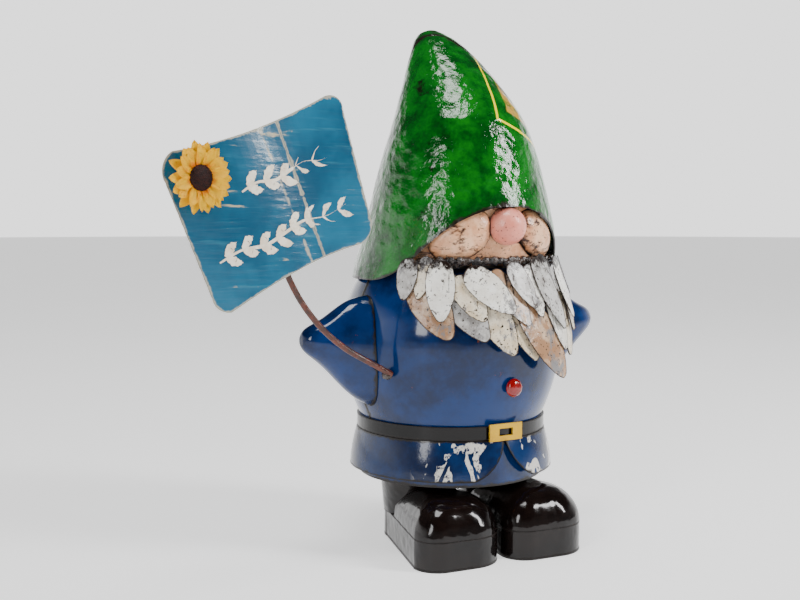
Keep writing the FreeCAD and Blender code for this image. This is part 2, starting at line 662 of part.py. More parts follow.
def petal_layer(name, length, thickness):
    """A hub with a ring of pointed petals, lying in the XY plane."""
    body = doc.addObject("PartDesign::Body", name)
    hub = body_sketch(body, name + "_hub", "XY_Plane")
    ring(hub, 0, 0, D["hub_radius"])
    hub_pad = body.newObject("PartDesign::Pad", name + "_hub_pad")
    hub_pad.Profile = hub
    bind(hub_pad, "Length", thickness)
    petal = body_sketch(body, name + "_petal", "XY_Plane")
    half, bulge = D["petal_width"] * 0.5, 19
    root = D["hub_radius"] - 2.5
    outline(petal, [(root, -half * 0.45, bulge), (length * 0.62, -half, bulge), (length, 0, bulge),
                    (length * 0.62, half, bulge), (root, half * 0.45)])
    petal_pad = body.newObject("PartDesign::Pad", name + "_petal_pad")
    petal_pad.Profile = petal
    bind(petal_pad, "Length", thickness)
    doc.recompute()
    pattern = body.newObject("PartDesign::PolarPattern", name + "_ring")
    pattern.Originals = [petal_pad]
    pattern.Axis = (hub, ["N_Axis"])
    pattern.Angle = 360
    pattern.Occurrences = int(SIZES["petal_count"])
    bind(pattern, "Occurrences", D["petal_count"])
    body.Tip = pattern
    return body


def make_sunflower():
    along, up, tilt = D["flower_along"].value, D["flower_up"].value, math.radians(D["sign_tilt"].value)
    x = D["sign_across"].value + along * math.cos(tilt) - up * math.sin(tilt)
    z = D["sign_height"].value + along * math.sin(tilt) + up * math.cos(tilt)
    facing = Rotation(Vector(0, 0, 1), SIZES["flower_turn"]) * Rotation(Vector(1, 0, 0), 90)
    thickness, step = D["petal_thickness"], D["layer_gap"]
    front = D["flower_depth"]
    outer = petal_layer("OuterPetals", D["petal_length"], thickness)
    inner = petal_layer("InnerPetals", D["inner_petal_length"], thickness)
    radius, rise = D["disc_radius"], D["disc_rise"]
    disc = turned("FlowerDisc", [(0, 0), (radius, 0), (radius, 1.6, radius * 1.4),
                                 (D["crown_flat"], rise), (0, rise)])
    half_pitch = Rotation(Vector(0, 0, 1), 180.0 / SIZES["petal_count"])
    for level, (thing, spin) in enumerate(((outer, Rotation()), (inner, half_pitch), (disc, Rotation()))):
        thing.Placement = Placement(Vector(x, 0, z), facing * spin)
        put(thing, y=front - step * level)
    stub = add("Part::Cylinder", "FlowerStub", Radius=D["stub_radius"],
               Height=(D["stub_depth"] - front) * cosine(D["flower_turn"]))
    stub.Placement = Placement(Vector(x, 0, z), facing)
    put(stub, y=D["stub_depth"])
    return [finish(outer, "sunflower_outer_petals"), finish(inner, "sunflower_inner_petals"),
            finish(disc, "sunflower_disc"), finish(stub, "sunflower_stub")]


# ---------------------------------------------------------------- beard

# Leaves from this layer outwards hang from the welds; the others are tucked under them.
UPPER_LAYER = 4


def beard_layer(name, layer, thickness):
    """A turned skin that flares outward towards its lower edge."""
    out = D["leaf_step"] * layer
    points = [(D["beard_low_radius"], D["beard_low_height"], D["beard_low_curve"]),
              (D["beard_mid_radius"], D["beard_mid_height"]),
              (D["beard_top_radius"], D["beard_top_height"])]
    outer = [(p[0] + out + thickness,) + tuple(p[1:]) for p in points]
    inner = [(points[2][0] + out, points[2][1]), (points[1][0] + out, points[1][1], -points[0][2]),
             (points[0][0] + out, points[0][1])]
    return turned(name, outer + inner)


def leaf_prism(name, number):
    """Leaf outline with a round top and a narrow tip, leaning in its own upright plane.

    The length in the table is what shows. The top goes on by a tuck, up to the welds in the upper
    layers and under the neighbours in the lower ones.
    """
    length, width = D[f"leaf_{number:02}_length"], D[f"leaf_{number:02}_width"]
    lean, middle = D[f"leaf_{number:02}_lean"], D[f"leaf_{number:02}_middle"]
    layer = BEARD_LEAVES[number - 1][-1]
    tuck = D["leaf_tuck_upper"] if layer >= UPPER_LAYER else D["leaf_tuck_lower"]
    sway, drop = sine(lean), cosine(lean)

    def leaned(x, y):
        return x * drop - y * sway, middle + y * drop + x * sway

    right, left = width * 0.5, width * -0.5
    shoulder, foot = length * 0.5 - width * 0.42 + tuck, length * -0.47
    tip = width * 0.2
    side_curve = (length + tuck) * 0.95
    points = [leaned(left, shoulder) + (side_curve,), leaned(-tip, foot) + (tip * 1.15,),
              leaned(tip, foot) + (side_curve,), leaned(right, shoulder) + (width * 0.52,)]
    body = prism(name, points, FAR)
    return turn(body, Vector(0, 0, 1), D[f"leaf_{number:02}_azimuth"])


def make_beard():
    thickness = D["leaf_thickness"]
    layers = {i: beard_layer(f"BeardLayer{i}", i, thickness) for i in range(6)}
    leaves = []
    for number, leaf in enumerate(BEARD_LEAVES, 1):
        blade = common(f"BeardLeaf{number:02}", layers[leaf[5]],
                       leaf_prism(f"LeafOutline{number:02}", number))
        leaves.append(finish(blade, f"beard_leaf_{number:02}"))
    return leaves + [make_beard_beads(leaves)]


def make_beard_beads(leaves):
    """Weld beads that join the upper ends of the leaves to the face plate."""
    beads = []
    for number, azimuth in enumerate(BEAD_ANGLES):
        bead = add("Part::Ellipsoid", f"BeardBead{number:02}", Radius1=D["bead_radius"],
                   Radius2=D["bead_radius"] * 1.1, Radius3=D["bead_reach"])
        bead.Angle1 = -90
        bead.Placement = Placement(Vector(0, 0, 0), Rotation(Vector(0, 0, 1), azimuth))
        reach = D["face_radius"] + 3.5
        put(bead, reach * math.sin(math.radians(azimuth)), reach * -math.cos(math.radians(azimuth)),
            D["bead_height"])
        beads.append(bead)
    room = add("Part::Cylinder", "BeadRoom", Radius=D["face_radius"] + D["gap"],
               Height=D["bead_room_height"])
    put(room, z=D["bead_room_low"])
    clear_of_face = cut("BeadsOutside", fuse("BeadRow", beads), room)
    clear_of_leaves = cut("Beads", clear_of_face, fuse("LeavesTogether", leaves))
    return finish(clear_of_leaves, "beard_weld_beads")


# ---------------------------------------------------------------- assembly

def check(nodes):
    """Stop unless every object is healthy and every sub-part is one valid shape."""
    doc.recompute()
    for thing in doc.Objects:
        bad = [state for state in thing.State if state in ("Invalid", "Error")]
        if bad:
            raise SystemExit(f"{thing.Name} ({thing.Label}) is {bad}: {thing.getStatusString()}")
    for node in nodes:
        if node.Shape.isNull() or not node.Shape.isValid():
            raise SystemExit(f"{node.Label} has no valid shape")
        if not node.Shape.Solids:
            raise SystemExit(f"{node.Label} holds no solid")


def main():
    core = coat_core("CoatCore", D["gap"])
    nodes = make_coat() + make_belt() + make_lower_body()
    nodes += make_boot(-1, "right") + make_boot(1, "left")
    nodes += make_hat() + make_face() + make_arms(core) + make_sign() + make_sunflower() + make_beard()
    check(nodes)
    os.makedirs("parts", exist_ok=True)
    for node in nodes:
        node.Shape.exportStep(f"parts/{node.Label}.step")
        box = node.Shape.BoundBox
        print(f"{node.Label:26} solids {len(node.Shape.Solids)} volume {node.Shape.Volume / 1000:8.2f} cm3 "
              f"x {box.XMin:7.1f} {box.XMax:7.1f} y {box.YMin:7.1f} {box.YMax:7.1f} "
              f"z {box.ZMin:6.1f} {box.ZMax:6.1f}")


main()
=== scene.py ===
import bisect
import math
import bmesh
import bpy
from mathutils import Matrix, Vector, noise
from mathutils.bvhtree import BVHTree
from mathutils.kdtree import KDTree


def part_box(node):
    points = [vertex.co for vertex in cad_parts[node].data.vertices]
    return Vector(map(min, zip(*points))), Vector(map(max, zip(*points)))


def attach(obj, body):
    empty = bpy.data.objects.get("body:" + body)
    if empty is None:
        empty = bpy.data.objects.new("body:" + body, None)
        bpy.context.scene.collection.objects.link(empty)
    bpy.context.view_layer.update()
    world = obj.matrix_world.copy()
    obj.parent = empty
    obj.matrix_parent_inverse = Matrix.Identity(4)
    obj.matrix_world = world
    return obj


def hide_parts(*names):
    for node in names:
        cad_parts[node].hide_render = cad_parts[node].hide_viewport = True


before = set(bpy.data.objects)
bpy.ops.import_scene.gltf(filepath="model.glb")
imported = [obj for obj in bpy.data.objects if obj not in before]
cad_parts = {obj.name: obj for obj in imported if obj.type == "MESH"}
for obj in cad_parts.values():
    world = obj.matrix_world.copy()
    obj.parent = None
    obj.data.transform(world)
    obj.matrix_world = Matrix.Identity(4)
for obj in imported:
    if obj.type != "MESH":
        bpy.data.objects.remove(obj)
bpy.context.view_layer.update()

MM = 0.001

# ---------------------------------------------------------------- meshes

SHARP = math.radians(55)


def mark_edges(mesh, reach):
    """Store on each vertex how near it is to a sharp edge, from 1 on the edge to 0 far away."""
    bm = bmesh.new()
    bm.from_mesh(mesh)
    bm.normal_update()
    on_edge = set()
    for edge in bm.edges:
        sharp = len(edge.link_faces) == 2 and edge.calc_face_angle(0) > SHARP
        edge.smooth = not sharp
        if sharp:
            on_edge.update(vert.index for vert in edge.verts)
    bm.to_mesh(mesh)
    tree = KDTree(max(1, len(on_edge)))
    for index in sorted(on_edge):
        tree.insert(mesh.vertices[index].co, index)
    tree.balance()
    bm.free()
    layer = mesh.attributes.new("edge", "FLOAT", "POINT")
    for vert in mesh.vertices:
        gap = tree.find(vert.co)[2] if on_edge else None
        layer.data[vert.index].value = math.exp(-gap / reach) if gap is not None else 0.0
    mesh.polygons.foreach_set("use_smooth", [True] * len(mesh.polygons))


def split_long_edges(bm, step):
    """Split edges until none is longer than the step, keeping triangles."""
    for _ in range(9):
        long_edges = [edge for edge in bm.edges if edge.calc_length() > step]
        if not long_edges:
            break
        bmesh.ops.subdivide_edges(bm, edges=long_edges, cuts=1)
        wide = [face for face in bm.faces if len(face.verts) > 3]
        bmesh.ops.triangulate(bm, faces=wide, quad_method="SHORT_EDGE")


def dent(bm, depth, size, seed):
    """Press shallow hollows into a sheet; both faces of the sheet move together."""
    bm.normal_update()
    centre = sum((vert.co for vert in bm.verts), Vector()) / len(bm.verts)
    shifts = []
    for vert in bm.verts:
        place = vert.co / size + Vector((seed * 7.3, seed * 3.1, seed * 1.7))
        amount = 0.5 + 0.35 * noise.noise(place) + 0.15 * noise.noise(place * 2.7)
        outward = vert.normal if vert.normal.dot(vert.co - centre) >= 0 else -vert.normal
        shifts.append(outward * (-depth * max(0.0, amount)))
    for vert, shift in zip(bm.verts, shifts):
        vert.co += shift


def piece_from(bm, name, material, replaced=(), reach=4 * MM):
    """Make a piece of the figure from a mesh, in place of some CAD nodes."""
    mesh = bpy.data.meshes.new(name)
    bm.to_mesh(mesh)
    bm.free()
    mark_edges(mesh, reach)
    mesh.materials.append(material)
    piece = bpy.data.objects.new(name, mesh)
    bpy.context.scene.collection.objects.link(piece)
    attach(piece, "root")
    if replaced:
        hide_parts(*replaced)
    return piece


def worked(node, material, step, depth, size, seed, reach=4 * MM):
    """A CAD piece as a fine mesh with hand-worked hollows."""
    bm = bmesh.new()
    bm.from_mesh(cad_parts[node].data)
    bmesh.ops.remove_doubles(bm, verts=bm.verts[:], dist=0.002 * MM)
    split_long_edges(bm, step)
    dent(bm, depth, size, seed)
    return piece_from(bm, node + "_worked", material, [node], reach)


# ---------------------------------------------------------------- materials

class Paint:
    """A node material being built; its calls return output sockets."""

    def __init__(self, name, coat=0.0, metallic=0.0):
        self.material = bpy.data.materials.new(name)
        self.material.use_nodes = True
        self.tree = self.material.node_tree
        self.shader = self.tree.nodes["Principled BSDF"]
        self.shader.inputs["Coat Weight"].default_value = coat
        self.shader.inputs["Coat Roughness"].default_value = 0.06
        self.shader.inputs["Specular IOR Level"].default_value = 0.25
        self.shader.inputs["Metallic"].default_value = metallic
        self.place = self.node("ShaderNodeTexCoord").outputs["Object"]

    def node(self, kind, **settings):
        """Add a node of one kind, with some of its settings."""
        made = self.tree.nodes.new(kind)
        for key, value in settings.items():
            setattr(made, key, value)
        return made

    def feed(self, target, value):
        """Join a socket to an input, or set the input to a plain value or colour."""
        if isinstance(value, bpy.types.NodeSocket):
            self.tree.links.new(value, target)
        elif isinstance(value, tuple) and len(value) == 3 and target.type == "RGBA":
            target.default_value = (*value, 1.0)
        else:
            target.default_value = value

    def noise(self, scale, detail=4.0, rough=0.6, stretch=(1, 1, 1), warp=0.0):
        """Noise fixed to the object, from 0 to 1."""
        mapping = self.node("ShaderNodeMapping")
        self.feed(mapping.inputs["Vector"], self.place)
        mapping.inputs["Scale"].default_value = stretch
        texture = self.node("ShaderNodeTexNoise")
        self.feed(texture.inputs["Vector"], mapping.outputs["Vector"])
        settings = {"Scale": scale, "Detail": detail, "Roughness": rough, "Distortion": warp}
        for key, value in settings.items():
            texture.inputs[key].default_value = value
        return texture.outputs["Fac"]

    def cells(self, scale):
        """Rounded cells, like the dimples of a hammered sheet."""
        texture = self.node("ShaderNodeTexVoronoi", feature="SMOOTH_F1")
        self.feed(texture.inputs["Vector"], self.place)
        texture.inputs["Scale"].default_value = scale
        return texture.outputs["Distance"]

    def level(self, value, low, high, start=0.0, stop=1.0):
        """Map low to start and high to stop, smoothly, with no overshoot."""
        node = self.node("ShaderNodeMapRange", interpolation_type="SMOOTHSTEP")
        settings = {"Value": value, "From Min": low, "From Max": high,
                    "To Min": start, "To Max": stop}
        for key, item in settings.items():
            self.feed(node.inputs[key], item)
        return node.outputs["Result"]

    def blend(self, share, first, second):
        """Mix two colours; a share of 1 gives the second one."""
        node = self.node("ShaderNodeMix", data_type="RGBA")
        self.feed(node.inputs["Factor"], share)
        self.feed(node.inputs[6], first)
        self.feed(node.inputs[7], second)
        return node.outputs[2]

    def sum(self, first, second, operation="ADD"):
        """Combine two values by a maths operation."""
        node = self.node("ShaderNodeMath", operation=operation)
        self.feed(node.inputs[0], first)
        self.feed(node.inputs[1], second)
        return node.outputs[0]

    def axis(self, index):
        """One coordinate in metres: 0 is X, 1 is Y and 2 is Z."""
        node = self.node("ShaderNodeSeparateXYZ")
        self.feed(node.inputs[0], self.place)
        return node.outputs[index]

    def edge(self, spread=0.9, grain=140):
        """Nearness to a sharp edge, broken up by noise."""
        node = self.node("ShaderNodeAttribute", attribute_name="edge")
        ragged = self.sum(self.sum(self.noise(grain, 5), -0.5), spread, "MULTIPLY")
        return self.sum(node.outputs["Fac"], ragged)

    def done(self, colour, roughness, height=None, depth=0.0):
        """Join up the shader, with the bump if there is one, and return the material."""
        self.feed(self.shader.inputs["Base Color"], colour)
        self.feed(self.shader.inputs["Roughness"], roughness)
        if height is not None:
            bump = self.node("ShaderNodeBump")
            bump.inputs["Distance"].default_value = depth
            self.feed(bump.inputs["Height"], height)
            self.feed(self.shader.inputs["Normal"], bump.outputs["Normal"])
            self.feed(self.shader.inputs["Coat Normal"], bump.outputs["Normal"])
        return self.material


RUST = (0.11, 0.016, 0.006)
SOOT = (0.007, 0.004, 0.003)


def enamel(name, bright, deep, chips=0.68, soot=0.72, gloss=0.16, hammer=0.25 * MM, grain=170,
           coat=0.8):
    """Glossy brushed enamel on sheet steel, chipped to rust and dark along its edges."""
    paint = Paint(name, coat)
    colour = paint.blend(paint.level(paint.noise(16, 5, 0.7), 0.38, 0.64), deep, bright)
    chipped = paint.level(paint.noise(62, 9, 0.78, warp=0.3), chips, chips + 0.03)
    colour = paint.blend(chipped, colour, RUST)
    dark = paint.level(paint.edge(), soot - 0.2, soot + 0.12)
    colour = paint.blend(dark, colour, SOOT)
    rough = paint.sum(paint.level(dark, 0, 1, gloss, 0.45), paint.level(chipped, 0, 1, 0, 0.25))
    height = paint.sum(paint.cells(grain), paint.level(chipped, 0, 1, 0, -0.5))
    return paint.done(colour, rough, height, hammer)


def skirt_enamel():
    """The coat's blue with the worn remains of pale paint on the front of the skirt."""
    paint = Paint("skirt_blue", 0.3)
    colour = paint.blend(paint.level(paint.noise(16, 5, 0.7), 0.38, 0.64), (0.001, 0.008, 0.040),
                         (0.002, 0.024, 0.100))
    front = paint.level(paint.axis(1), -0.05, -0.062)
    blots = paint.level(paint.noise(58, 3, 0.55, (1, 1, 0.55), warp=1.2), 0.555, 0.575)
    broken = paint.level(paint.noise(260, 5, 0.75), 0.40, 0.47)
    print_left = paint.sum(paint.sum(front, blots, "MULTIPLY"), broken, "MULTIPLY")
    colour = paint.blend(print_left, colour, (0.62, 0.60, 0.55))
    chipped = paint.level(paint.noise(62, 9, 0.78, warp=0.3), 0.68, 0.71)
    colour = paint.blend(chipped, colour, RUST)
    dark = paint.level(paint.edge(), 0.55, 0.85)
    colour = paint.blend(dark, colour, SOOT)
    return paint.done(colour, paint.level(dark, 0, 1, 0.18, 0.45), paint.noise(120, 4), 0.2 * MM)


# Painted line on the hat, in metres: it leans above its corner and runs off sideways below it.
LINE_CORNER = 0.360
LINE_PLACE = 0.001
LINE_LEAN = 0.24
LINE_ACROSS, LINE_DOWN = 0.4, 0.92
LINE_INNER, LINE_OUTER = 0.0009, 0.0014


def hat_enamel():
    """Green enamel over hammered sheet, with a worn yellow line and tan print left on one side."""
    paint = Paint("hat_green", 0.45)
    colour = paint.blend(paint.level(paint.noise(24, 6, 0.7), 0.36, 0.62), (0.001, 0.040, 0.004),
                         (0.0015, 0.145, 0.008))
    height = paint.axis(2)
    across = paint.sum(paint.axis(0), LINE_PLACE, "SUBTRACT")
    above = paint.sum(height, LINE_CORNER, "SUBTRACT")
    upper = paint.sum(across, paint.sum(above, LINE_LEAN, "MULTIPLY"), "SUBTRACT")
    lower = paint.sum(paint.sum(across, LINE_ACROSS, "MULTIPLY"),
                      paint.sum(above, LINE_DOWN, "MULTIPLY"))
    beyond = paint.sum(upper, lower, "MINIMUM")
    front = paint.level(paint.axis(1), 0.01, 0.0)
    span = paint.sum(paint.level(height, 0.322, 0.332),
                     paint.level(height, 0.418, 0.430, 1, 0), "MULTIPLY")
    span = paint.sum(span, front, "MULTIPLY")
    worn = paint.level(paint.noise(60, 6, 0.7, (1, 1, 0.4)), 0.46, 0.50)
    tan = paint.sum(paint.level(beyond, 0.011, 0.013), worn, "MULTIPLY")
    tan = paint.sum(tan, span, "MULTIPLY")
    colour = paint.blend(tan, colour, (0.50, 0.29, 0.04))
    stripe = paint.level(beyond, -LINE_OUTER, -LINE_INNER)
    stripe = paint.sum(stripe, paint.level(beyond, LINE_INNER, LINE_OUTER, 1, 0), "MULTIPLY")
    colour = paint.blend(paint.sum(stripe, span, "MULTIPLY"), colour, (0.88, 0.68, 0.01))
    chipped = paint.level(paint.noise(85, 9, 0.8), 0.64, 0.665)
    colour = paint.blend(chipped, colour, (0.09, 0.006, 0.003))
    grime = paint.level(paint.noise(30, 8, 0.75), 0.57, 0.67)
    colour = paint.blend(grime, colour, (0.004, 0.008, 0.003))
    dark = paint.level(paint.edge(1.5, 75), 0.5, 0.8)
    colour = paint.blend(dark, colour, (0.010, 0.006, 0.003))
    bumps = paint.sum(paint.cells(120), paint.sum(paint.noise(210, 3), 0.6, "MULTIPLY"))
    return paint.done(colour, paint.level(dark, 0, 1, 0.10, 0.35), bumps, 1.0 * MM)


def skin_enamel(name, light, warm, dirt_and_shadow=0.545):
    """Peach enamel rubbed with soot in scratches, dots and along the lower edges."""
    paint = Paint(name, 0.3)
    colour = paint.blend(paint.level(paint.noise(55, 6, 0.7), 0.35, 0.65), warm, light)
    strokes = paint.level(paint.noise(70, 8, 0.78, (0.6, 0.6, 1.5), warp=0.6), dirt_and_shadow, dirt_and_shadow + 0.09)
    dots = paint.level(paint.noise(480, 2, 0.5), 0.66, 0.69)
    colour = paint.blend(strokes, colour, (0.045, 0.016, 0.009))
    colour = paint.blend(dots, colour, SOOT)
    colour = paint.blend(paint.level(paint.edge(1.4, 90), 0.3, 0.7), colour, SOOT)
    return paint.done(colour, paint.level(strokes, 0, 1, 0.3, 0.5), paint.noise(240, 5), 0.4 * MM)


def leaf_enamel(name, light, warm, dirt_and_shadow):
    """Worn cream enamel on a cut leaf: speckled, with grey bare patches and brown edges that are
    partly worn paint and partly painted shadow between the layered leaves.
    """
    paint = Paint(name, 0.45)
    colour = paint.blend(paint.level(paint.noise(42, 6, 0.7), 0.4, 0.6), warm, light)
    bare = paint.level(paint.noise(60, 7, 0.75, (1, 1, 0.5)), 0.53, 0.62)
    colour = paint.blend(bare, colour, (0.20, 0.19, 0.19))
    speck = paint.level(paint.noise(300, 4, 0.7), 0.59, 0.63)
    colour = paint.blend(speck, colour, (0.03, 0.02, 0.014))
    # Brown along each leaf's edges: partly worn paint, partly painted shadow where the layered
    # leaves overlap.
    brown = paint.level(paint.edge(0.9, 200), dirt_and_shadow, dirt_and_shadow + 0.3)
    colour = paint.blend(brown, colour, (0.030, 0.016, 0.010))
    ragged = paint.sum(paint.sum(paint.noise(120, 6, 0.7), -0.5), 0.040, "MULTIPLY")
    burnt = paint.level(paint.sum(paint.axis(2), ragged), 0.238, 0.243)
    colour = paint.blend(burnt, colour, (0.012, 0.006, 0.004))
    return paint.done(colour, paint.level(brown, 0, 1, 0.26, 0.55), paint.noise(210, 6), 0.35 * MM)


def sign_enamel():
    """Teal brushed along the plate, with pale worn borders."""
    paint = Paint("sign_teal", 0.3)
    mottle = paint.level(paint.noise(14, 4), 0.35, 0.65)
    colour = paint.blend(mottle, (0.003, 0.060, 0.120), (0.006, 0.120, 0.215))
    turned = paint.node("ShaderNodeMapping")
    paint.feed(turned.inputs["Vector"], paint.place)
    turned.inputs["Rotation"].default_value = (0, SIGN_TILT, 0)
    turned.inputs["Scale"].default_value = (0.07, 1, 1)
    streak = paint.node("ShaderNodeTexNoise")
    paint.feed(streak.inputs["Vector"], turned.outputs["Vector"])
    streak.inputs["Scale"].default_value = 260
    streak.inputs["Detail"].default_value = 5
    streaks = streak.outputs["Fac"]
    colour = paint.blend(paint.level(streaks, 0.55, 0.8, 0, 0.5), colour, (0.045, 0.24, 0.33))
    patches = paint.level(paint.noise(22, 5, 0.7), 0.52, 0.6)
    scratch = paint.sum(paint.level(streaks, 0.62, 0.68), patches, "MULTIPLY")
    colour = paint.blend(scratch, colour, (0.42, 0.36, 0.24))
    worn = paint.level(paint.edge(1.1, 110), 0.55, 0.8)
    colour = paint.blend(worn, colour, (0.34, 0.33, 0.27))
    return paint.done(colour, 0.24, streaks, 0.25 * MM)


def simple(name, first, second, scale, roughness, depth, coat=0.0, metallic=0.0, grain=300):
    """Two colours mottled together over a rough grain."""
    paint = Paint(name, coat, metallic)
    colour = paint.blend(paint.level(paint.noise(scale, 6, 0.7), 0.4, 0.6), first, second)
    rough = paint.level(paint.noise(scale * 1.7, 4), 0.3, 0.7, roughness * 0.75, roughness * 1.25)
    return paint.done(colour, rough, paint.noise(grain, 5, 0.7), depth)


def petal_material():
    """Yellow petals, orange at the base, with fine lengthwise veins."""
    paint = Paint("petal_yellow")
    node = paint.node("ShaderNodeAttribute", attribute_name="along")
    along = paint.sum(node.outputs["Fac"], paint.sum(paint.noise(160, 4), -0.5))
    colour = paint.blend(paint.level(along, 0.05, 0.45), (0.86, 0.27, 0.0005), (0.98, 0.62, 0.0005))
    veins = paint.level(paint.noise(420, 4), 0.55, 0.7, 0, 0.35)
    colour = paint.blend(veins, colour, (0.72, 0.30, 0.001))
    return paint.done(colour, 0.5, paint.noise(500, 4), 0.15 * MM)


# ---------------------------------------------------------------- smooth turned shells

def surface_of(*nodes):
    """One search tree over the faces of some CAD nodes."""
    points, faces = [], []
    for node in nodes:
        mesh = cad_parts[node].data
        first = len(points)
        points += [vert.co.copy() for vert in mesh.vertices]
        faces += [tuple(first + i for i in face.vertices) for face in mesh.polygons]
    return BVHTree.FromPolygons(points, faces)


def outer_hit(tree, centre, azimuth, height):
    """The outermost point of a surface at one height, seen from a direction around its middle."""
    out = Vector((math.cos(azimuth), math.sin(azimuth), 0))
    start = Vector((centre[0], centre[1], height)) + out * 0.3
    point, normal, _, _ = tree.ray_cast(start, -out, 0.3)
    return point if point is not None and normal.dot(out) > 0.1 else None


def fitted_circle(tree, guess, height, samples=48):
    """Centre and radius of the round section at one height, fitted to what is there of it."""
    rows = [[0.0] * 3 for _ in range(3)]
    right = [0.0] * 3
    found = 0
    for i in range(samples):
        point = outer_hit(tree, guess, math.tau * (i + 0.5) / samples, height)
        if point is None:
            continue
        found += 1
        row = (point.x, point.y, 1.0)
        square = point.x ** 2 + point.y ** 2
        for a in range(3):
            right[a] += row[a] * square
            for b in range(3):
                rows[a][b] += row[a] * row[b]
    if found < 8:
        return None
    a, b, c = Matrix(rows).inverted() @ Vector(right)
    return a / 2, b / 2, math.sqrt(c + a * a / 4 + b * b / 4)


def round_levels(nodes, low, high, count, guess=(0.0, 0.0)):
    """Sections of a round shell from its CAD nodes: (height, x, y, radius), smoothed along it."""
    tree = surface_of(*nodes)
    levels = []
    for i in range(count + 1):
        height = low + (high - low) * i / count
        circle = fitted_circle(tree, guess, height)
        if circle:
            levels.append((height, *circle))
            guess = circle[:2]
    for _ in range(2):
        levels = [levels[0]] + [
            (b[0],) + tuple((a[k] + 2 * b[k] + c[k]) / 4 for k in (1, 2, 3))
            for a, b, c in zip(levels, levels[1:], levels[2:])] + [levels[-1]]
    return levels


def circle_at(levels, height):
    """(x, y, radius) of the section at any height between the levels."""
    height = min(max(height, levels[0][0]), levels[-1][0])
    above = min(max(1, bisect.bisect_left(levels, (height,))), len(levels) - 1)
    below = levels[above - 1]
    share = (height - below[0]) / (levels[above][0] - below[0])
    return [a + (b - a) * share for a, b in zip(below[1:], levels[above][1:])]


def shell(levels, foot, rows, around, thickness, capped=False):
    """A closed wall through round levels.

    foot(azimuth) gives its lower edge, and capped closes the top.
    """
    bm = bmesh.new()
    top = levels[-1][0]
    skins = []
    for inset in (0.0, thickness):
        rings = [[] for _ in range(rows + 1)]
        for i in range(around):
            azimuth = math.tau * i / around
            low = foot(azimuth)
            for k in range(rows + 1):
                share = math.sin(math.pi / 2 * k / rows) if capped else k / rows
                height = low + (top - low) * share
                x, y, radius = circle_at(levels, height)
                radius = max(radius - inset, 0.4 * MM)
                sunk = min(height, top - inset) if capped else height
                place = (x + radius * math.cos(azimuth), y + radius * math.sin(azimuth), sunk)
                rings[k].append(bm.verts.new(place))
        skins.append(rings)
    outer, inner = skins
    for rings, flip in ((outer, False), (inner, True)):
        for low, high in zip(rings, rings[1:]):
            for i in range(around):
                j = (i + 1) % around
                corners = [low[i], low[j], high[j], high[i]]
                bm.faces.new(corners[::-1] if flip else corners)
        if capped:
            bm.faces.new(rings[-1][::-1] if flip else rings[-1])
    joins = [(inner[0], outer[0])] + ([] if capped else [(outer[-1], inner[-1])])
    for a, b in joins:
        for i in range(around):
            j = (i + 1) % around
            bm.faces.new((a[i], a[j], b[j], b[i]))
    return bm


def keep_side(bm, point, normal):
    """Cut with a plane, drop what lies on the side its normal points to, and close the cut."""
    geometry = bm.verts[:] + bm.edges[:] + bm.faces[:]
    made = bmesh.ops.bisect_plane(bm, geom=geometry, dist=0.001 * MM, plane_co=point,
                                  plane_no=normal, clear_outer=True)
    rim = [edge for edge in made["geom_cut"] if isinstance(edge, bmesh.types.BMEdge)]
    bmesh.ops.holes_fill(bm, edges=rim, sides=0)


def part_shell(node, bm, planes, material, depth, size, seed):
    """One panel of a shell: what is left of it between some planes, with hammered hollows."""
    for point, normal in planes:
        keep_side(bm, point, normal)
    bmesh.ops.triangulate(bm, faces=[face for face in bm.faces if len(face.verts) > 4])
    dent(bm, depth, size, seed)
    return piece_from(bm, node + "_worked", material, [node], 5 * MM)


# ---------------------------------------------------------------- coat

SHEET = 1.2 * MM
ORIGIN = Vector((0, 0, 0))


def build_coat(blue):
    """The two coat panels, turned smoothly and hammered."""
    low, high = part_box("coat_front_panel")
    nodes = ["coat_front_panel", "coat_rear_panel"]
    levels = round_levels(nodes, low.z + 0.2 * MM, high.z - 0.2 * MM, 70)
    for node, facing in zip(nodes, (1, -1)):
        bm = shell(levels, lambda azimuth: levels[0][0], 90, 300, SHEET)
        seam = (ORIGIN, Vector((0, facing, 0)))
        part_shell(node, bm, [seam], blue, 0.7 * MM, 34 * MM, 3 + facing)


# ---------------------------------------------------------------- hat

RIM_SLOPE = math.radians(49)
RIM_BEND = 64 * MM
RIM_TURN = -39 * MM
HAT_SEAM = math.radians(35)
RIM_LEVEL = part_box("hat_rear_panel")[0].z


def rim_height(depth):
    """Height of the hat's lower edge at one depth: level behind, curving up towards the front."""
    reach = RIM_BEND * math.tan(RIM_SLOPE / 2)
    ahead = RIM_TURN + reach - depth
    if ahead <= 0:
        return RIM_LEVEL
    if ahead < RIM_BEND * math.sin(RIM_SLOPE):
        return RIM_LEVEL + RIM_BEND - math.sqrt(RIM_BEND ** 2 - ahead ** 2)
    return RIM_LEVEL + (RIM_TURN - depth) * math.tan(RIM_SLOPE)


def build_hat(green):
    """The two hat panels, parted at the seam, with their curved lower edge."""
    low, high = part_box("hat_rear_panel")
    nodes = ["hat_front_panel", "hat_rear_panel"]
    levels = round_levels(nodes, low.z + 0.4 * MM, high.z - 0.25 * MM, 150, (0.0, -0.005))

    def foot(azimuth):
        height = low.z
        for _ in range(24):
            _, y, radius = circle_at(levels, height)
            height += 0.4 * (rim_height(y + radius * math.sin(azimuth)) - height)
        return height

    across = Vector((math.sin(HAT_SEAM), math.cos(HAT_SEAM), 0))
    for node, side in zip(nodes, (1, -1)):
        bm = shell(levels, foot, 150, 330, SHEET, capped=True)
        part_shell(node, bm, [(ORIGIN, across * side)], green, 1.0 * MM, 15 * MM, 5)


# ---------------------------------------------------------------- sign motif

SIGN_LOW, SIGN_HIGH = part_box("sign_plate")
SIGN_TILT = math.radians(22)


